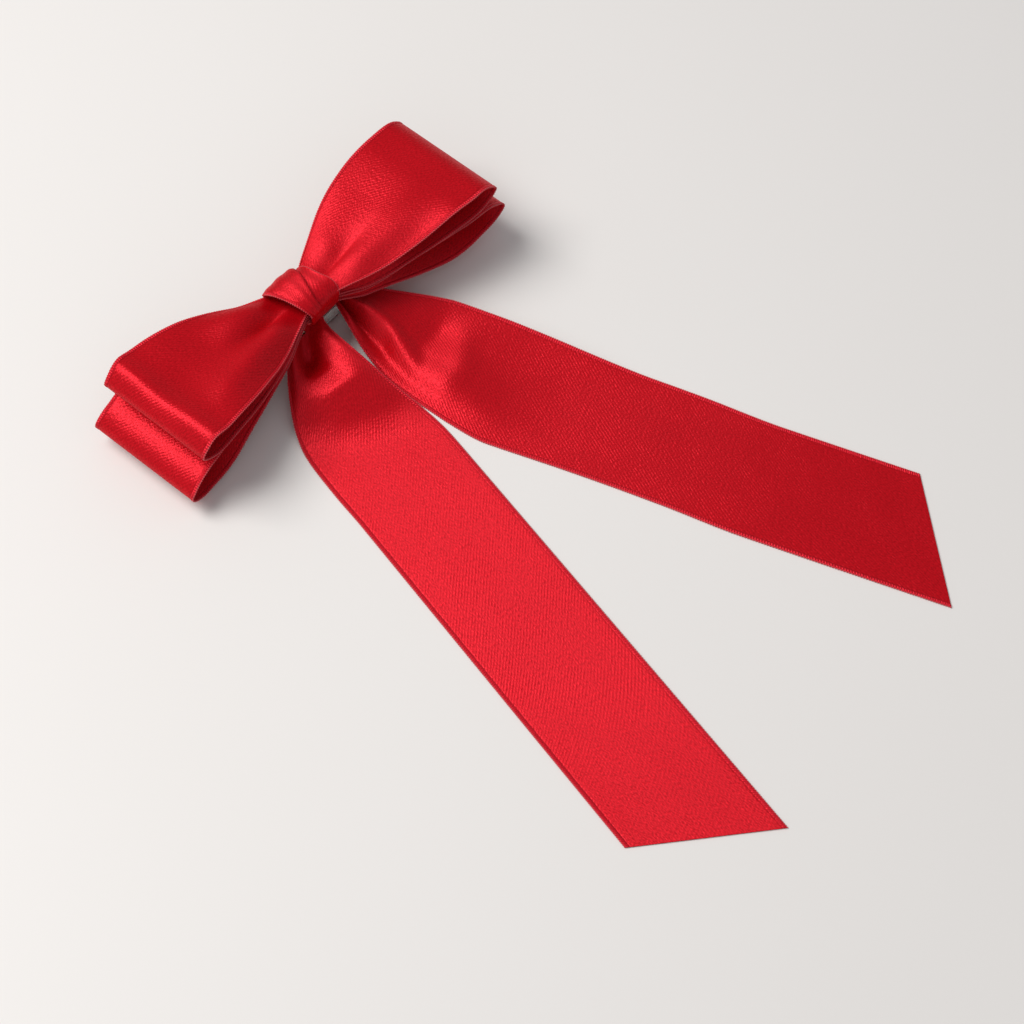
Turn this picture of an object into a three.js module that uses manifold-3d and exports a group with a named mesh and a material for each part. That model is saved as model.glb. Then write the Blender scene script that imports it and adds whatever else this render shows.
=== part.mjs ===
import * as THREE from 'three';
import { mergeVertices } from 'three/addons/utils/BufferGeometryUtils.js';
import Module from 'manifold-3d';

// A red satin hair bow with two stacked loops, a wrapped knot and two long tails, fixed to a spring barrette.
// Millimetres. +X runs from the left loops to the right loops, the tails point towards -Y, and +Z is the face.
// The bow lies on the plane z = 0, and the origin is the middle of the lever's flat outer face.

const wasm = await Module();
wasm.setup();

// ---- Ribbon ----
const RIBBON_WIDTH = 38;
const RIBBON_THICKNESS = 0.5;
const GATHERED_WIDTH = 11; // where the thread pinches it
const GATHERED_THICKNESS = 1.1; // all the pleats pressed together
const PINCH_HALF_LENGTH = 4.5; // the ribbon starts to spread this far from the middle of the knot
const SPREAD_LENGTH = 49; // and is spread flat after this much more
const PLEAT_HEIGHT = 3.2; // middle line to ridge, where the pleats are deepest
const GAP = 0.3; // air between pieces that rest on each other

// ---- Loops ----
const UPPER_REACH = { left: 60, right: 62 };
const LOWER_REACH = { left: 65, right: 66 };
const LOOP_SKEW = -0.03; // the loops' middle line leans this much in Y for each mm of X

// ---- Tails ----
// outward is the side of a tail that faces away from the other one. root is how far it runs under the knot
// before it spreads, bend is where its flat end swings, slant is how far its end is cut back across the width,
// and its pleats are waves across the width, shifted by a share of it.
const LEFT_TAIL = {
  length: 193, heading: -13.7, start: [-5.5, 0], outward: -1, root: 7, bend: 74, slant: 21,
  pleats: { height: 0.8, waves: 1.25, shift: 0.42 },
};
const RIGHT_TAIL = {
  length: 191, heading: 18.2, start: [3, -1], outward: 1, root: 11, bend: 78, slant: -20.5,
  pleats: { height: 0.8, waves: 0.9, shift: 0.12 },
};
const BEND_GAP = 0.7; // between a tail's gathered top and the flat end that swings past it

// ---- Knot ----
const KNOT_THICKNESS = 0.9;
const KNOT_FRONT_THICKNESS = 1.3;
const KNOT_FRONT_WIDTH = 13.5;
const KNOT_BACK_WIDTH = 9.5;
const FOLD_THICKNESS = 1.1;
const FOLD_WIDTH = 8;
const FOLD_TURN = 24; // degrees that the front fold slants from the knot's own direction
const FOLD_CROWN = 0.7; // its middle stands this much above its edges
const FOLD_SINK = 0.2; // and it is pressed this much into the band under it
const THREAD_DIAMETER = 0.5;
const THREAD_TURNS = 4;
const THREAD_PITCH = 0.85;
const THREAD_CLEARANCE = 0.55;

// ---- Clip ----
const CLIP_LENGTH = 60;
const PLATE_WIDTH = 8;
const PLATE_CORNER = 1.5;
const SHEET = 0.8; // gauge of the plate and the lever
const CLIP_HEIGHT = 8.4;
const EAR_GAUGE = 0.6;
const EAR_LENGTH = 5;
const EAR_INSET = 0.5; // from the end of the plate
const CLASP_INSET = 4; // middle of the clasp, from the plate's other end
const PIN_RADIUS = 0.6;
const PIN_HEAD_RADIUS = 1;
const PIN_HEAD_LENGTH = 0.5;
const PIN_CLEARANCE = 0.15;
const PIN_HEIGHT = 2.8;
const LEVER_TAB_HEIGHT = 4.4;
const LEVER_RISE = 2; // the lever's clasp end stands this much above its outer face
const LEVER_RISE_LENGTH = 3;
const LEVER_TIP_LENGTH = 5; // finger tip past the clasp window
const LEVER_TIP_DROP = 0.8; // the tip's rounded nose turns down this much
const WINDOW_RIM = 0.7; // metal left beside the clasp window
const STRIP_GAUGE = 0.4;
const STRIP_WIDTH = 5;
const STRIP_LENGTH = 42;
const STRIP_SAG = 1.9;
const PRONG_GAUGE = 0.5;
const PRONG_WIDTH = 3.2;
const BRACKET_GAUGE = 0.7;
const BRACKET_LENGTH = 4.4;
const BRACKET_WIDTH = 5.6;
const RIVET_RADIUS = 0.7;
const RIVET_HEAD_RADIUS = 1.3;
const RIVET_HEAD_HEIGHT = 0.5;
const PAD_SIZE = [12, 6];
const PAD_CORNER = 2;
const PAD_THICKNESS = 0.6;

// ---- Levels worked out from the sizes above ----
const plateBottom = CLIP_HEIGHT - SHEET;
const padBottom = CLIP_HEIGHT + GAP;
const rightRootLevel = padBottom + PAD_THICKNESS + GAP + GATHERED_THICKNESS / 2;
const layerStep = GATHERED_THICKNESS + GAP;
const leftRootLevel = rightRootLevel + layerStep;
const knotBottom = leftRootLevel + GATHERED_THICKNESS / 2 + GAP;
const threadRoom = 2 * THREAD_CLEARANCE + THREAD_DIAMETER; // between the gathered ribbons and the knot
const lowerBottomLevel = knotBottom + KNOT_THICKNESS + threadRoom + GATHERED_THICKNESS / 2;
const lowerTopLevel = lowerBottomLevel + layerStep;
const upperBottomLevel = lowerTopLevel + layerStep;
const upperTopLevel = upperBottomLevel + layerStep;

const COLOURS = {
  ribbon: { color: 0xc00a1e, roughness: 0.38, metalness: 0 },
  thread: { color: 0x8f0d16, roughness: 0.7, metalness: 0 },
  glue: { color: 0xe8e2cf, roughness: 0.45, metalness: 0 },
  steel: { color: 0xc9ccd0, roughness: 0.25, metalness: 1 },
  spring: { color: 0xb4b8bd, roughness: 0.32, metalness: 1 },
};

const bow = new THREE.Group();

function addPiece(name, geometry, colour) {
  const piece = new THREE.Mesh(geometry, new THREE.MeshStandardMaterial(COLOURS[colour]));
  piece.name = name;
  bow.add(piece);
  return piece;
}

// ---- Solids ----

function toManifold(geometry) {
  const bare = geometry.clone();
  bare.deleteAttribute('normal');
  bare.deleteAttribute('uv');
  const merged = mergeVertices(bare);
  return new wasm.Manifold(new wasm.Mesh({
    numProp: 3,
    vertProperties: new Float32Array(merged.attributes.position.array),
    triVerts: new Uint32Array(merged.index.array),
  }));
}

function fromManifold(solid) {
  const mesh = solid.getMesh();
  const geometry = new THREE.BufferGeometry();
  geometry.setAttribute('position', new THREE.BufferAttribute(new Float32Array(mesh.vertProperties), 3));
  geometry.setIndex(new THREE.BufferAttribute(new Uint32Array(mesh.triVerts), 1));
  geometry.computeVertexNormals();
  return geometry;
}

function combine(first, added, removed) {
  let solid = toManifold(first);
  for (const geometry of added) solid = solid.add(toManifold(geometry));
  for (const geometry of removed) solid = solid.subtract(toManifold(geometry));
  return fromManifold(solid);
}

function box(size, centre) {
  return new THREE.BoxGeometry(...size).translate(...centre);
}

function cylinderAlongY(radius, length, centre) {
  return new THREE.CylinderGeometry(radius, radius, length, 16).translate(...centre);
}

function cylinderAlongZ(radius, low, high, x) {
  const cylinder = new THREE.CylinderGeometry(radius, radius, high - low, 16);
  return cylinder.rotateX(Math.PI / 2).translate(x, 0, (low + high) / 2);
}

// A band of even gauge that follows a line of [a, b] points, as a closed outline.
function bandOutline(points, gauge) {
  const line = points.map(([a, b]) => new THREE.Vector2(a, b));
  const sides = [[], []];
  line.forEach((point, i) => {
    const before = line[Math.max(i - 1, 0)];
    const after = line[Math.min(i + 1, line.length - 1)];
    const into = point.clone().sub(before).normalize();
    const out = after.clone().sub(point).normalize();
    const along = into.add(out).normalize();
    const across = new THREE.Vector2(-along.y, along.x).multiplyScalar(gauge / 2);
    sides[0].push(point.clone().add(across));
    sides[1].unshift(point.clone().sub(across));
  });
  return new THREE.Shape([...sides[0], ...sides[1]]);
}

// An outline drawn in the XZ plane, extruded along Y about y = 0.
function extrudeAlongY(shape, width) {
  const geometry = new THREE.ExtrudeGeometry(shape, { depth: width, bevelEnabled: false, curveSegments: 8 });
  return geometry.rotateX(Math.PI / 2).translate(0, width / 2, 0);
}

// A closed solid around a surface(s, v), s along the ribbon and v across it from -0.5 to 0.5.
function ribbonSolid(surface, thickness, stations, columns, closed) {
  const step = 1e-3;
  const rows = closed ? stations : stations + 1;
  const positions = [];
  for (let i = 0; i < rows; i += 1) {
    const s = i / stations;
    const upper = [];
    const lower = [];
    for (let j = 0; j <= columns; j += 1) {
      const v = j / columns - 0.5;
      const point = surface(s, v);
      const s0 = closed ? s - step : Math.max(s - step, 0);
      const s1 = closed ? s + step : Math.min(s + step, 1);
      const along = surface(s1, v).sub(surface(s0, v));
      const across = surface(s, Math.min(v + step, 0.5)).sub(surface(s, Math.max(v - step, -0.5)));
      const normal = across.cross(along).normalize().multiplyScalar(thickness(s, v) / 2);
      upper.push(point.clone().add(normal));
      lower.unshift(point.clone().sub(normal));
    }
    for (const corner of [...upper, ...lower]) positions.push(corner.x, corner.y, corner.z);
  }
  const ring = 2 * (columns + 1);
  const index = [];
  const bands = closed ? rows : rows - 1;
  for (let i = 0; i < bands; i += 1) {
    const next = ((i + 1) % rows) * ring;
    for (let j = 0; j < ring; j += 1) {
      const k = (j + 1) % ring;
      index.push(i * ring + j, i * ring + k, next + k, i * ring + j, next + k, next + j);
    }
  }
  if (!closed) {
    const last = (rows - 1) * ring;
    for (let j = 0; j < columns; j += 1) {
      const opposite = ring - 1 - j;
      index.push(j, opposite, opposite - 1, j, opposite - 1, j + 1);
      index.push(last + j, last + opposite - 1, last + opposite, last + j, last + j + 1, last + opposite - 1);
    }
  }
  const geometry = new THREE.BufferGeometry();
  geometry.setAttribute('position', new THREE.BufferAttribute(new Float32Array(positions), 3));
  geometry.setIndex(facingOut(positions, index));
  geometry.computeVertexNormals();
  return geometry;
}

function facingOut(positions, index) {
  const corner = (i) => new THREE.Vector3().fromArray(positions, 3 * i);
  let volume = 0;
  for (let t = 0; t < index.length; t += 3) {
    volume += corner(index[t]).dot(corner(index[t + 1]).cross(corner(index[t + 2])));
  }
  if (volume > 0) return index;
  return index.map((_, i) => index[i - (i % 3) + [0, 2, 1][i % 3]]);
}

// ---- How the ribbon spreads from the knot ----

const { smoothstep, clamp, lerp, degToRad } = THREE.MathUtils;

function widthAt(distance) {
  const spread = clamp((distance - PINCH_HALF_LENGTH) / SPREAD_LENGTH, 0, 1);
  return lerp(GATHERED_WIDTH, RIBBON_WIDTH, 1 - (1 - spread) ** 1.5);
}

function thicknessAt(distance) {
  const thin = smoothstep(distance, PINCH_HALF_LENGTH, PINCH_HALF_LENGTH + 7);
  return lerp(GATHERED_THICKNESS, RIBBON_THICKNESS, thin);
}

function pleatAt(distance) {
  const rise = smoothstep(distance, PINCH_HALF_LENGTH + 2, PINCH_HALF_LENGTH + 17);
  const fade = 1 - smoothstep(distance, PINCH_HALF_LENGTH + 19, PINCH_HALF_LENGTH + 45);
  return PLEAT_HEIGHT * rise * fade;
}

// ---- Loops ----
// Each side of a ring is [share of the reach, rise above the leaf's level at the knot], from the knot
// outwards along the top leaf, round the fold line, and back along the bottom leaf.

function ringPath(topLevel, bottomLevel, reach, left, right) {
  const side = (sign, length, form) => [
    ...form.top.map(([share, rise]) => new THREE.Vector3(sign * share * length, 0, topLevel + rise)),
    new THREE.Vector3(sign * length, 0, topLevel + form.fold),
    ...form.bottom.map(([share, rise]) => new THREE.Vector3(sign * share * length, 0, bottomLevel + rise)),
  ];
  const points = [
    new THREE.Vector3(0, 0, topLevel),
    ...side(1, reach.right, right),
    new THREE.Vector3(0, 0, bottomLevel),
    ...side(-1, reach.left, left).reverse(),
  ];
  return new THREE.CatmullRomCurve3(points, true, 'centripetal');
}

function addLoopRibbon(name, path, leafForm) {
  const surface = (s, v) => {
    const point = path.getPointAt(((s % 1) + 1) % 1);
    const distance = Math.abs(point.x);
    const form = leafForm(point.z, distance);
    point.y = LOOP_SKEW * point.x + widthAt(distance) * v;
    point.z += -form.pleat * pleatAt(distance) * Math.cos(4 * Math.PI * v) - form.droop * (2 * v) ** 2;
    return point;
  };
  const thickness = (s) => thicknessAt(Math.abs(path.getPointAt(s).x));
  addPiece(name, ribbonSolid(surface, thickness, 64, 8, true), 'ribbon');
}

const upperPath = ringPath(upperTopLevel, upperBottomLevel, UPPER_REACH, {
  top: [[0.12, 0.3], [0.3, 2.8], [0.53, 5.8], [0.77, 7.2], [0.94, 6.4]],
  fold: 2.9,
  bottom: [[0.93, 1.2], [0.77, 0.9], [0.53, 0.8], [0.3, 0.6], [0.12, 0.1]],
}, {
  top: [[0.12, 0.6], [0.3, 4.4], [0.53, 8], [0.77, 9.7], [0.94, 9]],
  fold: 6,
  bottom: [[0.93, 3.8], [0.77, 2.9], [0.53, 2.4], [0.3, 1.4], [0.12, 0.2]],
});
addLoopRibbon('upper_loop_ribbon', upperPath, () => ({ pleat: 1, droop: 0 }));

// The lower ribbon's bottom leaf comes down to the surface past the ends of the clip.
const pastClip = (distance, reach) => (CLIP_LENGTH / 2 + distance) / reach;
const lowerPath = ringPath(lowerTopLevel, lowerBottomLevel, LOWER_REACH, {
  top: [[0.12, 0], [0.3, -0.1], [0.53, -0.7], [0.77, -1.8], [0.95, -5.4]],
  fold: -9.4,
  bottom: [[0.92, -12], [0.77, -11], [pastClip(9, LOWER_REACH.left), -7.2],
    [pastClip(-1.4, LOWER_REACH.left), -4], [0.28, -1.8], [0.12, -0.2]],
}, {
  top: [[0.12, 0.1], [0.3, 0.8], [0.53, 1.4], [0.77, 1.6], [0.93, 0.6]],
  fold: -3.4,
  bottom: [[0.93, -6.3], [0.77, -7.4], [pastClip(9.6, LOWER_REACH.right), -6],
    [pastClip(-1, LOWER_REACH.right), -3.8], [0.28, -1.6], [0.12, -0.2]],
});
const BOTTOM_LEAF_DROOP = 3;
addLoopRibbon('lower_loop_ribbon', lowerPath, (level, distance) => {
  const onBottomLeaf = 1 - smoothstep(level, lowerBottomLevel - 0.4, lowerBottomLevel);
  const settled = smoothstep(distance, 16, 34) * (1 - smoothstep(distance, 42, 60));
  return { pleat: 1 - 0.6 * settled * onBottomLeaf, droop: BOTTOM_LEAF_DROOP * settled * onBottomLeaf };
});

// ---- Tails ----
// Each tail runs along its heading, measured from -Y towards +X. Its points are [distance, sideways place of
// its inner edge, height], so a wider ribbon spreads away from the other tail.

function tailPath(tail, near, far) {
  const heading = degToRad(tail.heading);
  const along = new THREE.Vector3(Math.sin(heading), -Math.cos(heading), 0);
  const across = new THREE.Vector3(Math.cos(heading), Math.sin(heading), 0);
  const place = (distance, innerEdge, height) => {
    const sideways = innerEdge + tail.outward * widthAt(Math.max(distance - tail.root, 0)) / 2;
    return new THREE.Vector3(tail.start[0], tail.start[1], height)
      .addScaledVector(along, distance).addScaledVector(across, sideways);
  };
  const rest = RIBBON_THICKNESS / 2;
  return new THREE.CatmullRomCurve3([
    ...near.map(([distance, innerEdge, height]) => place(distance, innerEdge, height)),
    ...far.map(([share, innerEdge]) => place(share * tail.length, innerEdge, rest)),
  ], false, 'centripetal');
}

// A tail is two solids: the gathered top, held by the knot, and the flat end, which bends past it.
function addTail(name, tail, path) {
  const length = path.getLength();
  const { height, waves, shift } = tail.pleats;
  const pleatSection = (v) => height * Math.cos(2 * Math.PI * waves * (v + shift));
  const piece = (from, to, slant) => (s, v) => {
    const distance = lerp(from, to, s) + slant * v * s ** 4;
    const u = clamp(distance / length, 0, 1);
    const point = path.getPointAt(u);
    const beyond = Math.max(distance - length, 0);
    const tangent = path.getTangentAt(u).setZ(0).normalize();
    const across = new THREE.Vector3(-tangent.y, tangent.x, 0);
    const fromKnot = Math.max(distance - tail.root, 0);
    point.addScaledVector(tangent, beyond).addScaledVector(across, widthAt(fromKnot) * v);
    point.z = Math.max(point.z + pleatAt(fromKnot) * pleatSection(v), RIBBON_THICKNESS / 2);
    return point;
  };
  const topEnd = tail.bend - BEND_GAP / 2;
  const thickness = (s) => thicknessAt(Math.max(s * topEnd - tail.root, 0));
  addPiece(`${name}_top`, ribbonSolid(piece(0, topEnd, 0), thickness, 24, 8, false), 'ribbon');
  const endPiece = piece(tail.bend + BEND_GAP / 2, length, tail.slant);
  addPiece(`${name}_end`, ribbonSolid(endPiece, () => RIBBON_THICKNESS, 14, 4, false), 'ribbon');
}

const LEFT_NEAR = [[-6, 11.5, leftRootLevel], [1, 10.7, leftRootLevel], [9, 7.5, leftRootLevel - 0.9],
  [19, 7.88, leftRootLevel - 4.4], [30, 11.17, 5], [45, 15.6, 2], [60, 18.69, RIBBON_THICKNESS / 2],
  [72, 19, RIBBON_THICKNESS / 2]];
const LEFT_FAR = [[0.55, 19], [0.8, 19], [1, 19]];
addTail('left_tail', LEFT_TAIL, tailPath(LEFT_TAIL, LEFT_NEAR, LEFT_FAR));

const RIGHT_NEAR = [[-7, -8.5, rightRootLevel], [0, -5.5, rightRootLevel], [6, -0.5, rightRootLevel - 0.6],
  [15, 1.1, rightRootLevel - 1.8], [23, -3.28, 6.6], [32, -7.11, 4.6], [42, -11, 2.9],
  [54, -14.86, 0.8], [64, -17.09, RIBBON_THICKNESS / 2], [74, -17.7, RIBBON_THICKNESS / 2]];
const RIGHT_FAR = [[0.48, -18.2], [0.6, -18.2], [0.75, -19.6], [0.89, -19.5], [1, -19]];
addTail('right_tail', RIGHT_TAIL, tailPath(RIGHT_TAIL, RIGHT_NEAR, RIGHT_FAR));

// ---- Binding thread and knot, both round the gathered middle ----

// The line that stays this far outside the gathered ribbons, in the YZ plane, from +Y over the front.
function wrapPath(offset) {
  const a = GATHERED_WIDTH / 2;
  const low = lowerBottomLevel - GATHERED_THICKNESS / 2;
  const high = upperTopLevel + GATHERED_THICKNESS / 2;
  const path = new THREE.Path();
  path.moveTo(a + offset, (low + high) / 2);
  path.absarc(a, high, offset, 0, Math.PI / 2, false);
  path.absarc(-a, high, offset, Math.PI / 2, Math.PI, false);
  path.absarc(-a, low, offset, Math.PI, 1.5 * Math.PI, false);
  path.absarc(a, low, offset, 1.5 * Math.PI, 2 * Math.PI, false);
  path.lineTo(a + offset, (low + high) / 2);
  return path;
}

const threadPath = wrapPath(THREAD_CLEARANCE + THREAD_DIAMETER / 2);
const threadPoints = [];
const THREAD_POINTS_PER_TURN = 20;
for (let i = 0; i <= THREAD_TURNS * THREAD_POINTS_PER_TURN; i += 1) {
  const turn = i / THREAD_POINTS_PER_TURN;
  const point = threadPath.getPointAt(turn % 1);
  threadPoints.push(new THREE.Vector3((turn - THREAD_TURNS / 2) * THREAD_PITCH, point.x, point.y));
}
const threadSection = new THREE.Shape().absarc(0, 0, THREAD_DIAMETER / 2, 0, 2 * Math.PI, false);
addPiece('binding_thread', new THREE.ExtrudeGeometry(threadSection, {
  extrudePath: new THREE.CatmullRomCurve3(threadPoints),
  steps: THREAD_TURNS * THREAD_POINTS_PER_TURN,
  curveSegments: 3,
  bevelEnabled: false,
}), 'thread');

const knotPath = wrapPath(threadRoom + KNOT_THICKNESS / 2);
const knotMiddle = (knotBottom + upperTopLevel) / 2;

// How far a point of the knot is towards its front, from 0 at the back pass to 1 on the front.
function frontShare(z) {
  return smoothstep(z, upperTopLevel - 0.5, upperTopLevel + threadRoom);
}

// The front is thicker than the back, and grows outwards only.
function frontExtra(z) {
  return smoothstep(z, knotMiddle, upperTopLevel) * (KNOT_FRONT_THICKNESS - KNOT_THICKNESS);
}

function knotBand(s, v) {
  const point = knotPath.getPointAt(((s % 1) + 1) % 1);
  const front = frontShare(point.y);
  const thicker = frontExtra(point.y) / 2;
  const width = lerp(KNOT_BACK_WIDTH, KNOT_FRONT_WIDTH, front);
  return new THREE.Vector3(v * width, point.x, point.y + thicker);
}

function knotBandThickness(s) {
  return KNOT_THICKNESS + frontExtra(knotPath.getPointAt(s).y);
}

// The slanting fold over the front. It sinks into the band under it, so the two are one piece.
const foldPath = wrapPath(threadRoom + KNOT_THICKNESS + FOLD_THICKNESS / 2 - FOLD_SINK);
const FOLD_FROM = 0.06;
const FOLD_TO = 0.44;
function foldBand(s, v) {
  const point = foldPath.getPointAt(lerp(FOLD_FROM, FOLD_TO, s));
  const crown = FOLD_CROWN * (1 - (2 * v) ** 2);
  const slanted = v * FOLD_WIDTH - Math.tan(degToRad(FOLD_TURN)) * point.x;
  return new THREE.Vector3(slanted, point.x, point.y + frontExtra(point.y) + crown);
}

addPiece('knot_ribbon', combine(
  ribbonSolid(knotBand, knotBandThickness, 40, 6, true),
  [ribbonSolid(foldBand, () => FOLD_THICKNESS, 14, 6, false)],
  [],
), 'ribbon');

// ---- Clip ----

const hingeX = -CLIP_LENGTH / 2 + EAR_LENGTH / 2 + EAR_INSET;
const claspX = CLIP_LENGTH / 2 - CLASP_INSET;
const earOuter = PLATE_WIDTH / 2;
const earInner = earOuter - EAR_GAUGE;
const tabOuter = earInner - GAP;
const tabInner = tabOuter - EAR_GAUGE;
const leverWidth = 2 * tabOuter;
const pinHole = PIN_RADIUS + PIN_CLEARANCE;
const rivetHole = RIVET_RADIUS + PIN_CLEARANCE;

function roundedPlate(length, width, radius, low, high) {
  const shape = new THREE.Shape();
  const a = length / 2;
  const b = width / 2;
  shape.moveTo(-a + radius, -b);
  shape.lineTo(a - radius, -b);
  shape.absarc(a - radius, -b + radius, radius, -Math.PI / 2, 0, false);
  shape.absarc(a - radius, b - radius, radius, 0, Math.PI / 2, false);
  shape.absarc(-a + radius, b - radius, radius, Math.PI / 2, Math.PI, false);
  shape.absarc(-a + radius, -b + radius, radius, Math.PI, 1.5 * Math.PI, false);
  return new THREE.ExtrudeGeometry(shape, { depth: high - low, bevelEnabled: false, curveSegments: 4 })
    .translate(0, 0, low);
}

// A hinge ear or tab: straight sides and a round end about the pin, between two values of y.
function earPlate(fromZ, sign, inner, outer) {
  const half = EAR_LENGTH / 2;
  const shape = new THREE.Shape();
  const upward = fromZ > PIN_HEIGHT;
  const [startAngle, endAngle] = upward ? [Math.PI, 2 * Math.PI] : [0, Math.PI];
  shape.moveTo(upward ? half : -half, fromZ);
  shape.lineTo(upward ? -half : half, fromZ);
  const roundRadius = Math.min(half, upward ? PIN_HEIGHT - GAP : LEVER_TAB_HEIGHT - PIN_HEIGHT);
  shape.absellipse(0, PIN_HEIGHT, half, roundRadius, startAngle, endAngle, false);
  const geometry = extrudeAlongY(shape, outer - inner);
  return geometry.translate(hingeX, sign * (inner + outer) / 2, 0);
}

const sides = [-1, 1];
addPiece('base_plate', combine(
  roundedPlate(CLIP_LENGTH, PLATE_WIDTH, PLATE_CORNER, plateBottom, CLIP_HEIGHT),
  sides.map((sign) => earPlate(plateBottom + SHEET / 2, sign, earInner, earOuter)),
  [
    cylinderAlongY(pinHole, 2 * PLATE_WIDTH, [hingeX, 0, PIN_HEIGHT]),
    cylinderAlongZ(rivetHole, plateBottom - 1, CLIP_HEIGHT + 1, claspX),
  ],
), 'steel');

const windowHalfLength = PRONG_WIDTH / 2 + GAP;
const windowHalfWidth = tabOuter - WINDOW_RIM;
const leverEnd = claspX + windowHalfLength + LEVER_TIP_LENGTH;
const leverLine = [
  [hingeX - EAR_LENGTH / 2 + EAR_GAUGE, SHEET / 2],
  [claspX - windowHalfLength - LEVER_RISE_LENGTH - 1, SHEET / 2],
  [claspX - windowHalfLength - 1, LEVER_RISE + SHEET / 2],
  [leverEnd - 2, LEVER_RISE + SHEET / 2],
  [leverEnd, LEVER_RISE + SHEET / 2 - LEVER_TIP_DROP],
];
addPiece('lever_arm', combine(
  extrudeAlongY(bandOutline(leverLine, SHEET), leverWidth),
  sides.map((sign) => earPlate(SHEET / 2, sign, tabInner, tabOuter)),
  [
    cylinderAlongY(pinHole, 2 * PLATE_WIDTH, [hingeX, 0, PIN_HEIGHT]),
    box([2 * windowHalfLength, 2 * windowHalfWidth, 4], [claspX, 0, LEVER_RISE]),
  ],
), 'steel');

const pinHalfLength = earOuter + GAP / 2;
addPiece('hinge_pin', combine(
  cylinderAlongY(PIN_RADIUS, 2 * pinHalfLength, [hingeX, 0, PIN_HEIGHT]),
  sides.map((sign) => cylinderAlongY(PIN_HEAD_RADIUS, PIN_HEAD_LENGTH,
    [hingeX, sign * (pinHalfLength + PIN_HEAD_LENGTH / 2), PIN_HEIGHT])),
  [],
), 'steel');

const stripLine = [];
const STRIP_POINTS = 12;
for (let i = 0; i <= STRIP_POINTS; i += 1) {
  const share = (2 * i) / STRIP_POINTS - 1;
  const high = plateBottom - GAP - STRIP_GAUGE / 2;
  stripLine.push([share * STRIP_LENGTH / 2, high - STRIP_SAG * (1 - share ** 2)]);
}
addPiece('tension_strip', extrudeAlongY(bandOutline(stripLine, STRIP_GAUGE), STRIP_WIDTH), 'spring');

const bracketTop = plateBottom - GAP;
const bracketBottom = bracketTop - BRACKET_GAUGE;
addPiece('clasp_bracket', combine(
  box([BRACKET_LENGTH, BRACKET_WIDTH, BRACKET_GAUGE], [claspX, 0, (bracketTop + bracketBottom) / 2]),
  [],
  [cylinderAlongZ(rivetHole, bracketBottom - 1, bracketTop + 1, claspX)],
), 'spring');

const rivetTop = CLIP_HEIGHT + GAP / 2;
const rivetLow = bracketBottom - GAP / 2;
addPiece('clasp_rivet', combine(
  cylinderAlongZ(RIVET_RADIUS, rivetLow, rivetTop, claspX),
  [
    cylinderAlongZ(RIVET_HEAD_RADIUS, rivetTop, rivetTop + RIVET_HEAD_HEIGHT, claspX),
    cylinderAlongZ(RIVET_HEAD_RADIUS, rivetLow - RIVET_HEAD_HEIGHT, rivetLow, claspX),
  ],
  [],
), 'steel');

// Each prong hangs beside the bracket, bulges out for the fingers and hooks under the lever's window.
const hookWidth = windowHalfWidth - PRONG_GAUGE / 2 - 0.2;
const prongLine = [
  [BRACKET_WIDTH / 2 + GAP + PRONG_GAUGE / 2, bracketTop],
  [BRACKET_WIDTH / 2 + GAP + PRONG_GAUGE, bracketBottom - 0.4],
  [BRACKET_WIDTH / 2 + 1.7, bracketBottom - 1.6],
  [BRACKET_WIDTH / 2 + 0.9, bracketBottom - 2.6],
  [hookWidth, LEVER_RISE + SHEET + 0.4],
  [hookWidth, LEVER_RISE - 0.2],
  [hookWidth + 0.5, LEVER_RISE - 0.6],
  [hookWidth - 0.4, LEVER_RISE - 1.2],
];
for (const [name, sign] of [['clasp_prong_front', -1], ['clasp_prong_back', 1]]) {
  const outline = bandOutline(prongLine, PRONG_GAUGE);
  const prong = new THREE.ExtrudeGeometry(outline, { depth: PRONG_WIDTH, bevelEnabled: false });
  prong.rotateX(Math.PI / 2).rotateZ(Math.PI / 2).translate(claspX - PRONG_WIDTH / 2, 0, 0);
  if (sign < 0) prong.rotateZ(Math.PI).translate(2 * claspX, 0, 0);
  addPiece(name, prong, 'spring');
}

const pad = roundedPlate(PAD_SIZE[0], PAD_SIZE[1], PAD_CORNER, padBottom, padBottom + PAD_THICKNESS);
addPiece('glue_pad', pad, 'glue');

export default bow;
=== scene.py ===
import math

import bpy
import numpy as np
from mathutils import Matrix, Vector


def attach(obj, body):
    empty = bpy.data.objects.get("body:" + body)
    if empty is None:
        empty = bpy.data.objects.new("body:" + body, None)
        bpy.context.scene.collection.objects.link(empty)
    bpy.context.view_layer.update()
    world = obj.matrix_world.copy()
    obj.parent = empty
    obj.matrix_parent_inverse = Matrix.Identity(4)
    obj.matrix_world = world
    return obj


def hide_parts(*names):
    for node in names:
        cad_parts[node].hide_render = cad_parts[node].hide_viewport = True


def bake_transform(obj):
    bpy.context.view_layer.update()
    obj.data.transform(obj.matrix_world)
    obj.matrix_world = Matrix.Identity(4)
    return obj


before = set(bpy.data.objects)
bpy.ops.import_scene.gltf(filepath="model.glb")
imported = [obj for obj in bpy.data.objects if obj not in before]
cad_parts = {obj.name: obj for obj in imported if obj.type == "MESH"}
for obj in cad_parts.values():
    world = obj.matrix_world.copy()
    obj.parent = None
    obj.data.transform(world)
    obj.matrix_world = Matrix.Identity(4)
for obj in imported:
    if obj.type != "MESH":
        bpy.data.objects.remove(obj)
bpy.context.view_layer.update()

# A red satin hair bow with two stacked loops, a wrapped knot and two long tails, on a spring barrette.
# Shapes are worked out in millimetres in the row frame, and become metres when a mesh is made.
# +X runs from the left loops to the right loops, the tails point towards -Y, and +Z is the bow's face.

MM = 0.001

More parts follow.
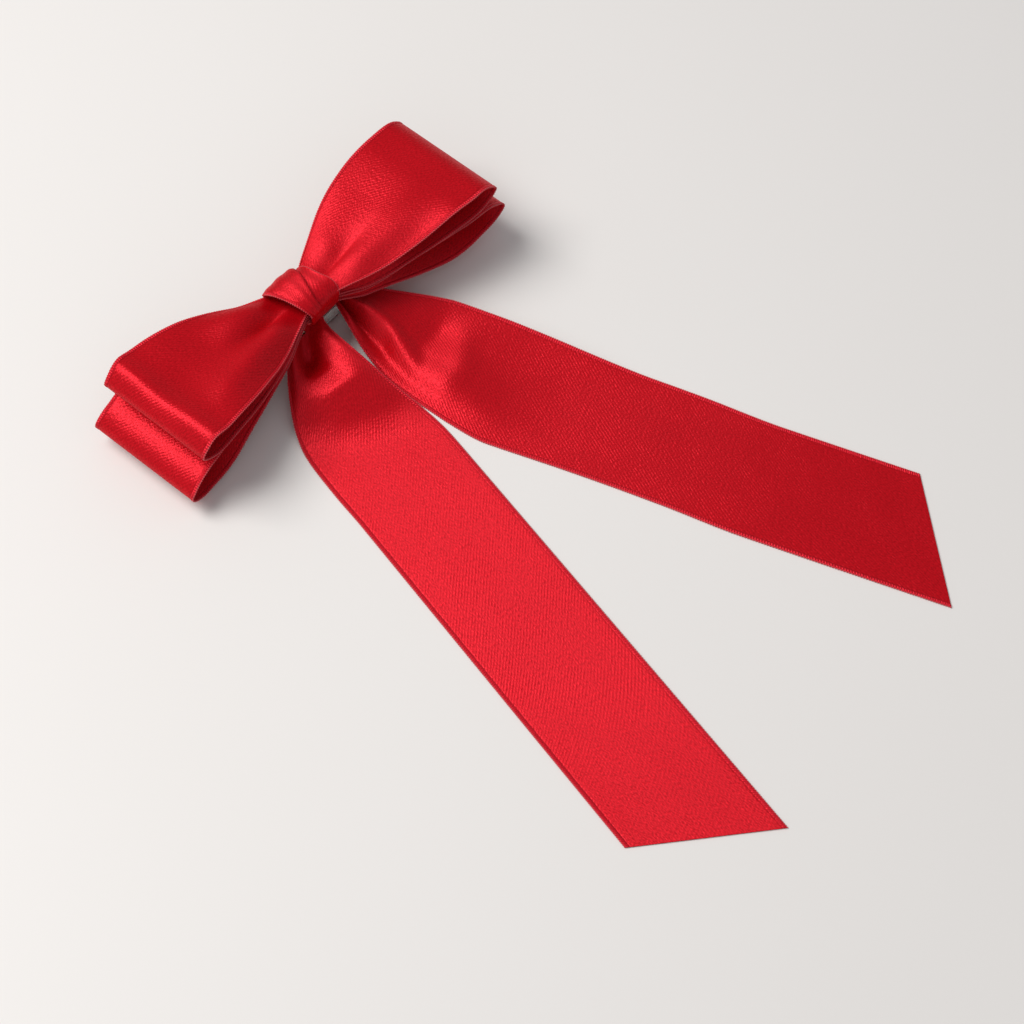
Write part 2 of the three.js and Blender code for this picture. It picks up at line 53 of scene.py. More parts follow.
# ---- Ribbon ----
RIBBON_WIDTH = 38.0
CLOTH = 0.3  # thickness of the satin
SELVEDGE = 0.5  # thickness of its woven edge
SELVEDGE_AT = 0.35  # the thickest line of that edge lies this far inside it
GROOVE_AT = 1.0  # the thin line beside it
GROOVE_DEPTH = 0.08
TWILL_PITCH = 0.85
TWILL_ANGLE = 40.0  # degrees

# ---- Stitches along the woven edges ----
STITCH_PITCH = 0.7
STITCH_RADIUS = 0.14  # the yarn between two loops
STITCH_OUT = 0.02  # its middle lies this far outside the cloth
STITCH_LOOP = 0.12  # added to both at each loop
ROWS_PER_STITCH = 5
STITCH_SIDES = 6

# ---- Gathering ----
GATHERED_WIDTH = 11.0
PINCH = 4.5  # the ribbon starts to spread this far from the middle of the knot
SPREAD = 49.0  # and has its full width this much further out
PLEAT_HEIGHT = 3.2
PLEAT_RISE = (PINCH + 1, PINCH + 13)  # the pleats grow over this stretch
PLEAT_FADE = (PINCH + 9, PINCH + 30)  # and die away over this one

# ---- Loops ----
UPPER_REACH = {"left": 60.0, "right": 62.0}
LOWER_REACH = {"left": 66.0, "right": 66.0}
LOOP_SKEW = -0.03  # sideways shift for each millimetre from the knot
LOOP_ROW = 1.1
LOOP_COLUMNS = 44
TIP_TOP, TIP_BOTTOM = 5, 3  # top and bottom forms change over between these distances from a tip
DROOP_RISE = (10.0, 26.0)  # the front edge starts to hang over this stretch
DROOP_FADE = (30.0, 48.0)  # and comes back up over this one

# ---- Tails ----
FLAT = 0.3  # height of the cloth's middle where it lies on the table
TAIL_START = -6.5  # where a tail begins, under the knot
FINE_UNTIL = 66.0  # the part of a tail that has close rows
FINE_ROW = 0.8
FLAT_ROWS = 70
TAIL_COLUMNS = 48
CUT_RIM = 0.06  # the last row sits this close to the cut, so the cloth's shading stays flat up to it
FAR = 220  # beyond the ends of both tails

# ---- Levels at the knot ----
LEAF = {"lower_bottom": 15.45, "lower_top": 16.85, "upper_bottom": 18.25, "upper_top": 19.65}
KNOT_BOTTOM = 12.4
KNOT_TOP = 24.2
KNOT_HALF_HEIGHT = (KNOT_TOP - KNOT_BOTTOM) / 2
KNOT_MIDDLE = KNOT_BOTTOM + KNOT_HALF_HEIGHT

# ---- Knot ribbon ----
KNOT_RIBBON_WIDTH = 25.0
KNOT_COLUMNS = 44
BAND_ROWS = 120
WRAP_ROWS = 70
FOLD_AT = 0.54  # share of the ribbon's width that faces out, before it is folded under
FOLD_HALF = 0.06  # half of the share over which it turns
UNDER_REACH = 0.97  # how much of the outer face's width the folded part goes back across
UNDER_DEPTH = 0.8  # how far under it lies
KNOT_ROUNDNESS = 2.6  # 2 is an ellipse, and more is squarer
BAND_BULGE, BAND_FOLDS = 0.8, 0.12
WRAP_BULGE, WRAP_FOLDS = 0.5, 0.1
WRAP_TUCKS = (1.8, 1.6)  # how deep its two ends go under


# ---- Small maths ----

def lerp(a, b, t):
    return a + (b - a) * t


def smoothstep(x, low, high):
    t = np.clip((np.asarray(x, float) - low) / (high - low), 0, 1)
    return t * t * (3 - 2 * t)


def between(a, b, leave, arrive, t):
    """A smooth way from a to b as t goes from 0 to 1, with the slopes leave and arrive at its two ends."""
    return (a * (2 * t**3 - 3 * t**2 + 1) + leave * (t**3 - 2 * t**2 + t)
            + b * (3 * t**2 - 2 * t**3) + arrive * (t**3 - t**2))


def curve_through(points, x):
    """A smooth line through [x, value] points, level before the first and after the last.
    Its slopes are limited, so that it never swings past the points."""
    px, py = np.array(points, float).T
    slopes = np.gradient(py, px)
    secants = np.diff(py) / np.diff(px)
    limit = 3 * np.minimum(np.abs(secants[:-1]), np.abs(secants[1:])) * (secants[:-1] * secants[1:] > 0)
    slopes[1:-1] = np.clip(slopes[1:-1], -limit, limit)
    x = np.clip(x, px[0], px[-1])
    i = np.clip(np.searchsorted(px, x) - 1, 0, len(px) - 2)
    h = px[i + 1] - px[i]
    return between(py[i], py[i + 1], h * slopes[i], h * slopes[i + 1], (x - px[i]) / h)


class Path:
    """A smooth closed line through given points, measured along its own length."""

    def __init__(self, points, fine=48):
        p = np.array(points, float)
        n = len(p)
        around = [p[i % n] for i in range(-1, n + 2)]
        line = []
        for i in range(len(around) - 3):
            line.extend(self.piece(*around[i:i + 4], np.arange(fine) / fine))
        line.append(around[-2])
        self.line = np.array(line)
        steps = np.linalg.norm(np.diff(self.line, axis=0), axis=1)
        self.far = np.concatenate([[0], np.cumsum(steps)])
        self.length = self.far[-1]

    @staticmethod
    def piece(a, b, c, d, t):
        """The stretch from b to c, with a before it and d after it."""
        gaps = [max(np.linalg.norm(q - p) ** 0.5, 1e-6) for p, q in ((a, b), (b, c), (c, d))]
        into = ((b - a) / gaps[0] - (c - a) / (gaps[0] + gaps[1]) + (c - b) / gaps[1]) * gaps[1]
        out = ((c - b) / gaps[1] - (d - b) / (gaps[1] + gaps[2]) + (d - c) / gaps[2]) * gaps[1]
        return between(b, c, into, out, t[:, None])

    def at(self, distance):
        return np.stack([np.interp(distance, self.far, self.line[:, k])
                         for k in range(self.line.shape[1])], axis=-1)


def width_at(distance):
    """The loops' width this far from the middle of the knot."""
    spread = np.clip((distance - PINCH) / SPREAD, 0, 1)
    return lerp(GATHERED_WIDTH, RIBBON_WIDTH, 1 - (1 - spread) ** 1.5)


def pleat_at(distance):
    """How high the pleats stand this far from the middle of the knot."""
    return PLEAT_HEIGHT * smoothstep(distance, *PLEAT_RISE) * (1 - smoothstep(distance, *PLEAT_FADE))


def fold(distance, across_mm, start, end, height, width):
    """One soft fold that runs from start to end, each [distance, sideways], and dies away at both."""
    t = (distance - start[0]) / (end[0] - start[0])
    middle = lerp(start[1], end[1], np.clip(t, 0, 1))
    strength = smoothstep(t, -0.15, 0.3) * (1 - smoothstep(t, 0.6, 1.15))
    return height * strength * np.exp(-((across_mm - middle) / width) ** 2)


# ---- Ribbon meshes ----

EDGE_MARGINS = (0.0, 0.22, 0.45, 0.7, 1.0, 1.4)  # close columns beside each woven edge


def columns_across(count):
    """Places across the ribbon from -0.5 to 0.5, closer together at the two woven edges."""
    edge = np.array(EDGE_MARGINS) / RIBBON_WIDTH
    inner = np.linspace(-0.5 + edge[-1], 0.5 - edge[-1], count)[1:-1]
    return np.concatenate([-0.5 + edge, inner, (0.5 - edge)[::-1]])


def thickness_across(v):
    """Thicker at the bead of each woven edge, and thinner in the groove beside it."""
    margin = (0.5 - np.abs(v)) * RIBBON_WIDTH
    bead = np.exp(-((margin - SELVEDGE_AT) / 0.3) ** 2)
    groove = np.exp(-((margin - GROOVE_AT) / 0.25) ** 2)
    return CLOTH + (SELVEDGE - CLOTH) * bead - GROOVE_DEPTH * groove


def mesh_object(name, points, faces, uvs, material):
    """A smooth mesh, from points and UVs in millimetres."""
    mesh = bpy.data.meshes.new(name)
    mesh.from_pydata((np.asarray(points) * MM).tolist(), [], faces)
    layer = mesh.uv_layers.new(name="ribbon")
    layer.data.foreach_set("uv", (np.asarray(uvs, np.float32) * MM).ravel())
    mesh.shade_smooth()
    mesh.materials.append(material)
    thing = bpy.data.objects.new(name, mesh)
    bpy.context.scene.collection.objects.link(thing)
    return thing


def strip_faces(rings, ring, closed):
    """Quads round a strip whose every cross-section is a ring of points."""
    i = np.arange(rings if closed else rings - 1)[:, None]
    j = np.arange(ring)[None, :]
    k = (j + 1) % ring
    following = (i + 1) % rings
    quads = np.stack([i * ring + j, i * ring + k, following * ring + k, following * ring + j], -1)
    return quads.reshape(-1, 4)


def ribbon_mesh(name, surface, distances, v, material, closed=False, across_mm=None):
    """A thin closed solid round surface(distances, v). Its UVs are its own measures across and along."""
    grid = surface(distances, v)
    rows, cols = grid.shape[:2]
    if closed:
        along = np.roll(grid, -1, 0) - np.roll(grid, 1, 0)
    else:
        along = np.gradient(grid, axis=0)
    across = np.gradient(grid, axis=1)
    normal = np.cross(across, along)
    normal /= np.maximum(np.linalg.norm(normal, axis=2, keepdims=True), 1e-9)
    half = thickness_across(v)[None, :, None] / 2
    rings = np.concatenate([grid + normal * half, (grid - normal * half)[:, ::-1]], axis=1)
    ring = 2 * cols
    faces = strip_faces(rows, ring, closed)
    measure = (v + 0.5) * RIBBON_WIDTH if across_mm is None else across_mm
    sideways = np.concatenate([measure, measure[::-1]])
    lengthways = np.append(distances, distances[-1] + distances[1] - distances[0])
    i, j = np.divmod(faces, ring)
    wrapped = np.where((i == 0) & (faces[:, :1] // ring == rows - 1), rows, i) if closed else i
    uvs = np.stack([sideways[j], lengthways[wrapped]], -1).reshape(-1, 2)
    faces = faces.tolist()
    if not closed:
        first = list(range(ring))
        last = [(rows - 1) * ring + n for n in range(ring)]
        faces += [first[::-1], last]
        uvs = np.concatenate([uvs, [(sideways[n], distances[0]) for n in first[::-1]],
                              [(sideways[n], distances[-1]) for n in first]])
    return mesh_object(name, rings.reshape(-1, 3), faces, uvs, material)


def edge_stitches(name, surface, start, end, v_edge, material, closed=False):
    """The small looped stitches along one woven edge."""
    count = int((end - start) / STITCH_PITCH * ROWS_PER_STITCH)
    distances = np.linspace(start, end, count, endpoint=not closed)
    just_inside = v_edge * (1 - 0.012)
    pair = surface(distances, np.array([just_inside, v_edge]))
    edge = pair[:, 1]
    out = edge - pair[:, 0]
    out /= np.linalg.norm(out, axis=1, keepdims=True)
    along = np.roll(edge, -1, 0) - np.roll(edge, 1, 0) if closed else np.gradient(edge, axis=0)
    along /= np.linalg.norm(along, axis=1, keepdims=True)
    up = np.cross(along, out)
    beat = np.abs(np.sin(np.pi * distances / STITCH_PITCH))
    radius = STITCH_RADIUS + STITCH_LOOP * beat
    centre = edge + out * (STITCH_OUT + STITCH_LOOP * beat)[:, None]
    sides = range(STITCH_SIDES)
    turns = np.array(sides) * 2 * math.pi / STITCH_SIDES
    rings = (centre[:, None] + radius[:, None, None]
             * (out[:, None] * np.cos(turns)[None, :, None] + up[:, None] * np.sin(turns)[None, :, None]))
    faces = strip_faces(count, STITCH_SIDES, closed)
    i, j = np.divmod(faces, STITCH_SIDES)
    uvs = np.stack([j * 0.1, distances[i]], -1).reshape(-1, 2)
    faces = faces.tolist()
    if not closed:
        faces += [list(sides)[::-1], [(count - 1) * STITCH_SIDES + n for n in sides]]
        uvs = np.concatenate([uvs, [(0.1 * n, start) for n in sides], [(0.1 * n, end) for n in sides]])
    return mesh_object(name, rings.reshape(-1, 3), faces, uvs, material)


# ---- Materials ----

class Nodes:
    """Short ways to add and join shader nodes."""

    def __init__(self, name):
        self.material = bpy.data.materials.new(name)
        self.material.use_nodes = True
        self.tree = self.material.node_tree
        self.shader = self.tree.nodes["Principled BSDF"]

    def feed(self, socket, value):
        """Joins another node's output to a socket, or sets the socket's plain value."""
        if isinstance(value, bpy.types.NodeSocket):
            self.tree.links.new(value, socket)
        else:
            socket.default_value = value

    def add(self, kind, inputs=None, **settings):
        node = self.tree.nodes.new(kind)
        for key, value in settings.items():
            setattr(node, key, value)
        for key, value in (inputs or {}).items():
            self.feed(node.inputs[key], value)
        return node

    def math(self, operation, a, b=0.0, c=0.0):
        return self.add("ShaderNodeMath", {0: a, 1: b, 2: c}, operation=operation).outputs[0]

    def mix(self, share, a, b):
        return self.add("ShaderNodeMix", {0: share, 6: a, 7: b}, data_type="RGBA").outputs[2]

    def noise(self, vector, scale, detail=2.0, roughness=0.5):
        inputs = {"Vector": vector, "Scale": scale, "Detail": detail, "Roughness": roughness}
        return self.add("ShaderNodeTexNoise", inputs).outputs["Fac"]

    def range(self, value, low, high, to_low=0.0, to_high=1.0):
        inputs = {"Value": value, "From Min": low, "From Max": high, "To Min": to_low, "To Max": to_high}
        return self.add("ShaderNodeMapRange", inputs).outputs["Result"]

    def into(self, **inputs):
        """Sets the surface's own inputs. A name's underscores stand for spaces."""
        for key, value in inputs.items():
            self.feed(self.shader.inputs[key.replace("_", " ")], value)


DEEP_RED = (0.40, 0.0006, 0.003, 1)
BRIGHT_RED = (0.75, 0.004, 0.012, 1)
# Painted shade for the groove beside each woven edge.
GROOVE_SHADE_RED = (0.22, 0.001, 0.003, 1)
# Painted highlight for the stitches along each woven edge.
STITCH_HIGHLIGHT_RED = (0.75, 0.02, 0.04, 1)


def satin_material():
    """Red satin: slanting twill lines, the fine glitter of single threads, and a groove and stitches at each
    woven edge, with painted shade in the groove and a painted highlight on the stitches. Its shine is
    stretched across the ribbon, as smooth threads that run along it do."""
    n = Nodes("red_satin")
    uv = n.add("ShaderNodeUVMap", uv_map="ribbon").outputs["UV"]
    split = n.add("ShaderNodeSeparateXYZ", {0: uv})
    u, along = split.outputs[0], split.outputs[1]
    turn = math.radians(TWILL_ANGLE)
    wobble = n.math("MULTIPLY", n.math("SUBTRACT", n.noise(uv, 260.0), 0.5), 0.5)
    slant = n.math("ADD", n.math("MULTIPLY", along, math.sin(turn)), n.math("MULTIPLY", u, math.cos(turn)))
    phase = n.math("MULTIPLY_ADD", slant, 2 * math.pi / (TWILL_PITCH * MM), wobble)
    twill = n.range(n.math("SINE", phase), -1.0, 1.0)

    stretched = n.add("ShaderNodeMapping", {"Vector": uv, "Scale": (2300.0, 1200.0, 1.0)}).outputs[0]
    threads = n.noise(stretched, 1.0, 1.0)
    grain = n.noise(uv, 900.0, 3.0, 0.6)
    cloudy = n.noise(uv, 60.0, 2.0)

    margin = n.math("MINIMUM", u, n.math("SUBTRACT", RIBBON_WIDTH * MM, u))
    from_groove = n.math("ABSOLUTE", n.math("SUBTRACT", margin, 1.05 * MM))
    groove = n.math("SUBTRACT", 1.0, n.range(from_groove, 0.0, 0.3 * MM))
    selvedge = n.range(margin, 0.95 * MM, 0.7 * MM)
    stitch = n.range(n.math("SINE", n.math("MULTIPLY", along, 2 * math.pi / (STITCH_PITCH * MM))), -1.0, 1.0)

    tone = n.math("ADD", n.math("MULTIPLY", threads, 0.75), n.math("MULTIPLY", twill, 0.1))
    tone = n.math("ADD", tone, n.math("MULTIPLY", cloudy, 0.15))
    colour = n.mix(n.range(tone, 0.25, 0.8), DEEP_RED, BRIGHT_RED)
    # Painted shade: the colour is darkened in the groove beside each woven edge.
    colour = n.mix(n.math("MULTIPLY", groove, 0.3), colour, GROOVE_SHADE_RED)
    # Painted highlight: the raised stitches along the woven edge are lightened with a paler red.
    stitch_highlight = n.math("MULTIPLY", selvedge, n.range(stitch, 0.0, 1.0, 0.1, 0.6))
    colour = n.mix(stitch_highlight, colour, STITCH_HIGHLIGHT_RED)

    rough = n.range(threads, 0.3, 0.7, 0.56, 0.4)
    lines = n.math("MULTIPLY", twill, n.range(cloudy, 0.35, 0.65, 0.15, 0.5))
    height = n.math("ADD", lines, n.math("MULTIPLY", threads, 1.6))
    height = n.math("ADD", height, n.math("MULTIPLY", grain, 0.6))
    height = n.math("ADD", height, n.math("MULTIPLY", n.noise(uv, 32.0, 1.0), 7.0))
    height = n.math("SUBTRACT", height, n.math("MULTIPLY", groove, 0.9))
    height = n.math("ADD", height, n.math("MULTIPLY", n.math("MULTIPLY", selvedge, stitch), 1.5))
    bump = n.add("ShaderNodeBump", {"Height": height, "Strength": 0.8, "Distance": 0.1 * MM}).outputs[0]
    tangent = n.add("ShaderNodeTangent", direction_type="UV_MAP", uv_map="ribbon").outputs[0]
    n.into(Base_Color=colour, Roughness=rough, Normal=bump, Tangent=tangent, Anisotropic=0.82,
           Metallic=0.4, Specular_IOR_Level=0.9, Specular_Tint=(1.0, 0.28, 0.38, 1),
           Sheen_Weight=0.05, Sheen_Roughness=0.4, Sheen_Tint=(1.0, 0.1, 0.15, 1))
    return n.material


def stitch_material():
    """The thicker yarn of the looped edge stitches, with a painted highlight at each loop and painted shade
    between the loops.
    """
    n = Nodes("edge_stitching")
    uv = n.add("ShaderNodeUVMap", uv_map="ribbon").outputs["UV"]
    along = n.add("ShaderNodeSeparateXYZ", {0: uv}).outputs[1]
    loop = n.math("ABSOLUTE", n.math("SINE", n.math("MULTIPLY", along, math.pi / (STITCH_PITCH * MM))))
    fibre = n.noise(uv, 5200.0, 2.0)
    # Painted highlight and shade: the yarn is lighter where each loop bulges out and darker between loops,
    # and the fibre noise adds random tone.
    tone = n.math("MULTIPLY", n.range(loop, 0.0, 1.0, 0.2, 0.8), n.range(fibre, 0.2, 0.8, 0.6, 1.2))
    colour = n.mix(tone, (0.25, 0.001, 0.004, 1), (0.78, 0.03, 0.05, 1))
    bump = n.add("ShaderNodeBump", {"Height": fibre, "Strength": 0.6, "Distance": 0.05 * MM}).outputs[0]
    n.into(Base_Color=colour, Roughness=n.range(fibre, 0.2, 0.8, 0.6, 0.4), Normal=bump, Sheen_Weight=0.2)
    return n.material


def thread_material():
    """Dark red sewing thread, with slanting strands and painted shade in the grooves between them."""
    n = Nodes("sewing_thread")
    place = n.add("ShaderNodeTexCoord").outputs["Object"]
    strand = n.add("ShaderNodeTexWave", {"Vector": place, "Scale": 1400.0, "Distortion": 1.5},
                   bands_direction="DIAGONAL").outputs["Fac"]
    fuzz = n.noise(place, 6000.0, 3.0)
    # Painted shade: the colour darkens where the strand bands dip, in step with the bump.
    colour = n.mix(strand, (0.14, 0.002, 0.005, 1), (0.42, 0.008, 0.015, 1))
    bump = n.add("ShaderNodeBump", {"Height": strand, "Strength": 0.8, "Distance": 0.08 * MM}).outputs[0]
    n.into(Base_Color=colour, Roughness=n.range(fuzz, 0.2, 0.8, 0.55, 0.8), Normal=bump, Sheen_Weight=0.3)
    return n.material


def nickel_material():
    """Nickel plate: soft brushed grain, small scratches, and a duller film in patches."""
    n = Nodes("nickel_plate")
    place = n.add("ShaderNodeTexCoord").outputs["Object"]
    drawn = n.add("ShaderNodeMapping", {"Vector": place, "Scale": (120.0, 3200.0, 3200.0)}).outputs[0]
    grain = n.noise(drawn, 1.0, 3.0)
    film = n.noise(place, 90.0, 4.0)
    scratches = n.range(n.noise(place, 700.0, 5.0, 0.8), 0.62, 0.7)
    colour = n.mix(n.range(film, 0.35, 0.7), (0.60, 0.60, 0.59, 1), (0.76, 0.755, 0.74, 1))
    rough = n.math("ADD", n.range(grain, 0.2, 0.8, 0.16, 0.32), n.math("MULTIPLY", scratches, 0.15))
    height = n.math("SUBTRACT", grain, n.math("MULTIPLY", scratches, 0.8))
    bump = n.add("ShaderNodeBump", {"Height": height, "Strength": 0.25, "Distance": 0.02 * MM}).outputs[0]
    n.into(Base_Color=colour, Metallic=1.0, Roughness=rough, Normal=bump)
    return n.material


def spring_material():
    """Brushed spring steel, darker than the plate, with lighter rubbed patches."""
    n = Nodes("spring_steel")
    place = n.add("ShaderNodeTexCoord").outputs["Object"]
    drawn = n.add("ShaderNodeMapping", {"Vector": place, "Scale": (200.0, 5200.0, 5200.0)}).outputs[0]
    grain = n.noise(drawn, 1.0, 4.0)
    rubbed = n.noise(place, 150.0, 3.0)
    colour = n.mix(n.range(rubbed, 0.35, 0.7), (0.36, 0.36, 0.37, 1), (0.5, 0.5, 0.51, 1))
    bump = n.add("ShaderNodeBump", {"Height": grain, "Strength": 0.4, "Distance": 0.03 * MM}).outputs[0]
    n.into(Base_Color=colour, Metallic=1.0, Roughness=n.range(grain, 0.2, 0.8, 0.28, 0.45), Normal=bump)
    return n.material


def glue_material():
    """Hot glue: milky, lumpy and a little cloudy."""
    n = Nodes("hot_glue")
    place = n.add("ShaderNodeTexCoord").outputs["Object"]
    lumps = n.noise(place, 420.0, 2.0)
    cloud = n.noise(place, 1500.0, 3.0)
    colour = n.mix(n.range(cloud, 0.3, 0.7), (0.72, 0.68, 0.56, 1), (0.85, 0.82, 0.72, 1))
    bump = n.add("ShaderNodeBump", {"Height": lumps, "Strength": 0.6, "Distance": 0.3 * MM}).outputs[0]
    n.into(Base_Color=colour, Roughness=n.range(lumps, 0.3, 0.7, 0.25, 0.45), Normal=bump,
           Subsurface_Weight=0.3, Subsurface_Radius=(0.002, 0.0016, 0.001))
    return n.material


def floor_material():
    """A plain pale tabletop, with the faintest mottling."""
    n = Nodes("pale_floor")
    place = n.add("ShaderNodeTexCoord").outputs["Object"]
    colour = n.mix(n.noise(place, 6.0, 2.0), (0.735, 0.71, 0.69, 1), (0.75, 0.725, 0.71, 1))
    n.into(Base_Color=colour, Roughness=0.45, Specular_IOR_Level=0.3)
    return n.material


SATIN = satin_material()
STITCHING = stitch_material()

# ---- Loops ----
# Each side of a ring is [share of the reach, rise above the leaf's level at the knot], from the knot
# outwards along the top leaf, round the fold line, and back along the bottom leaf.


def ring_path(top, bottom, reach, left, right):
    """The closed line of both loops of a ribbon, as (x, z)."""
    def side(sign, length, form):
        out = [(sign * share * length, top + rise) for share, rise in form["top"]]
        out.append((sign * length, top + form["fold"]))
        return out + [(sign * share * length, bottom + rise) for share, rise in form["bottom"]]

    points = [(0, top), *side(1, reach["right"], right), (0, bottom), *side(-1, reach["left"], left)[::-1]]
    return Path(points)


def loop_surface(path, leaves, bows):
    """leaves holds, for each side and leaf, a function of (distance from the knot, sideways mm, v) that
    lifts it. bows holds how far each side's back and front edges move towards +Y, as [distance, mm]."""
    x = path.line[:, 0]
    right_tip, left_tip = path.far[np.argmax(x)], path.far[np.argmin(x)]

    def surface(distances, v):
        centre = path.at(np.mod(distances, path.length))
        x, z = centre[:, :1], centre[:, 1:]
        away = np.abs(x)
        s = distances[:, None]
        top = (1 - smoothstep(s, right_tip - TIP_TOP, right_tip + TIP_BOTTOM)
               + smoothstep(s, left_tip - TIP_BOTTOM, left_tip + TIP_TOP))
        v = v[None, :]
        width = width_at(away)
        across = width * v
        lift = np.zeros(np.broadcast(x, v).shape)
        for (side, leaf), form in leaves.items():
            share = (x >= 0 if side == "right" else x < 0) * (top if leaf == "top" else 1 - top)
            lift = lift + share * form(away, across, v)
        sideways = across + LOOP_SKEW * x
        for side, edges in bows.items():
            on_side = x >= 0 if side == "right" else x < 0
            for edge, towards in (("back", v), ("front", -v)):
                sideways = sideways + on_side * curve_through(edges[edge], away) * smoothstep(towards, 0, 0.5)
        return np.stack([np.broadcast_to(x, lift.shape), sideways + 0 * lift, z + lift], -1)

    return surface


def gathers(away, v, strength=1.0):
    """The two soft ridges and the sharper crease between them that every leaf takes from the knot."""
    ridge = np.sqrt(np.sin(2 * math.pi * v) ** 2 + 0.01)
    return strength * pleat_at(away) * (2 * ridge - 1.1)


def front_droop(away, v, depth):
    """The front woven edge hangs lower than the middle between the knot and the tip."""
    strength = smoothstep(away, *DROOP_RISE) * (1 - smoothstep(away, *DROOP_FADE))
    return -depth * strength * smoothstep(-v, 0.22, 0.5)


def upper_left_top(away, across, v):
    """A crease from the knot, a wide valley behind a raised front, and a raised rim near the tip."""
    lift = gathers(away, v, 0.75)
    lift += front_droop(away, v, 3.0)
    lift += fold(away, across, (8, 0), (28, 0.5), -0.8, 2.4)
    lift += fold(away, across, (24, 5), (56, 1), -1.9, 8.0)
    lift += fold(away, across, (22, -6), (48, -11), 1.0, 5.0)
    lift += 1.2 * np.exp(-((away - 54) / 3.5) ** 2)
    return lift


def upper_right_top(away, across, v):
    """A crease from the knot, a raised front, and a low rim near the tip."""
    lift = gathers(away, v, 0.35)
    lift += front_droop(away, v, 2.0)
    lift += fold(away, across, (6, 0.6), (24, 1.2), -0.9, 2.4)
    lift += fold(away, across, (12, -4), (44, -7), 1.2, 6.0)
    lift += 0.7 * np.exp(-((away - 57) / 4) ** 2)
    return lift


def plain_leaf(depth):
    """A leaf with nothing but its gathers and a front edge that hangs by a depth."""
    def form(away, across, v):
        return gathers(away, v) + front_droop(away, v, depth)

    return form


def settled_leaf(away, across, v):
    """The lowest leaf, whose two woven edges sink towards the table."""
    settled = smoothstep(away, 16, 34) * (1 - smoothstep(away, 42, 60))
    return gathers(away, v, 1 - 0.6 * settled) - 3.0 * settled * (2 * v) ** 2


UPPER = ring_path(LEAF["upper_top"], LEAF["upper_bottom"], UPPER_REACH, left={
    "top": [(0.12, 0.3), (0.3, 2.8), (0.53, 5.8), (0.77, 6.6), (0.94, 6.4)],
    "fold": 2.9,
    "bottom": [(0.93, 1.2), (0.77, 0.9), (0.53, 0.8), (0.3, 0.6), (0.12, 0.1)],
}, right={
    "top": [(0.12, 0.8), (0.3, 3.4), (0.53, 7.6), (0.77, 10.6), (0.94, 9.3)],
    "fold": 6,
    "bottom": [(0.93, 3.8), (0.77, 2.9), (0.53, 2.4), (0.3, 1.4), (0.12, 0.2)],
})
LOWER = ring_path(LEAF["lower_top"], LEAF["lower_bottom"], LOWER_REACH, left={
    "top": [(0.12, 0), (0.3, -0.1), (0.53, -0.7), (0.77, -1.8), (0.95, -5.4)],
    "fold": -9.4,
    "bottom": [(0.92, -12), (0.77, -11), (0.6, -7.2), (0.44, -4), (0.28, -1.8), (0.12, -0.2)],
}, right={
    "top": [(0.12, 0.1), (0.3, 0.8), (0.53, 1.4), (0.77, 1.6), (0.93, 0.6)],
    "fold": -3.4,
    "bottom": [(0.93, -6.3), (0.77, -7.4), (0.6, -6), (0.44, -3.8), (0.28, -1.6), (0.12, -0.2)],
})


# How far a side's edges move towards +Y, as [distance from the knot, mm].
STRAIGHT = [(0, 0), (60, 0)]
LEFT_BACK_BOW = [(0, 0), (12, 0.6), (26, 1.4), (42, 1.2), (60, -0.6)]
RIGHT_BACK_BOW = [(0, 0), (12, 1.6), (24, 2.6), (36, 1.6), (50, -0.6), (62, -1.5)]


def make_loop(name, path, leaves, bows, node):
    """A ribbon's ring with its two rows of edge stitches. node is the CAD piece that it replaces."""
    surface = loop_surface(path, leaves, bows)
    distances = np.linspace(0, path.length, int(path.length / LOOP_ROW), endpoint=False)
    ribbon = ribbon_mesh(name, surface, distances, columns_across(LOOP_COLUMNS), SATIN, closed=True)
    edges = [edge_stitches(f"{name}_{side}_edge", surface, 0, path.length, v_edge, STITCHING, closed=True)
             for side, v_edge in (("front", -0.5), ("back", 0.5))]
    for piece in (ribbon, *edges):
        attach(piece, "bow")
    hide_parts(node)


make_loop("upper_loop", UPPER, {
    ("left", "top"): upper_left_top, ("right", "top"): upper_right_top,
    ("left", "bottom"): plain_leaf(2.0), ("right", "bottom"): plain_leaf(1.5),
}, {
    "left": {"back": LEFT_BACK_BOW, "front": STRAIGHT}, "right": {"back": RIGHT_BACK_BOW, "front": STRAIGHT},
}, "upper_loop_ribbon")
make_loop("lower_loop", LOWER, {
    ("left", "top"): plain_leaf(1.2), ("right", "top"): plain_leaf(1.0),
    ("left", "bottom"): settled_leaf, ("right", "bottom"): settled_leaf,
}, {
    "left": {"back": LEFT_BACK_BOW, "front": [(0, 0), (20, 0.8), (40, 2.2), (55, 1.4), (65, 0)]},
    "right": {"back": RIGHT_BACK_BOW, "front": [(0, 0), (20, 0.6), (35, 1.2), (50, 0.8), (66, 0)]},
}, "lower_loop_ribbon")

# ---- Tails ----
# Each tail has its own line, measured from a start point along a heading. Across it, the cloth is placed by
# its left edge, its right edge and the height of lines that run along it, each [distance, value].
# Headings are degrees from -Y towards +X. The slant is how much further a cut end reaches on its right edge.

LEFT_TAIL = {"length": 193.0, "heading": -13.7, "start": (-5.5, 0.0), "slant": 21.0}
RIGHT_TAIL = {"length": 191.0, "heading": 18.2, "start": (3.0, -1.0), "slant": -20.5}


def picked(values, k):
    """Row k of values, with a k of its own for each place."""
    return np.take_along_axis(values, k[None], 0)[0]


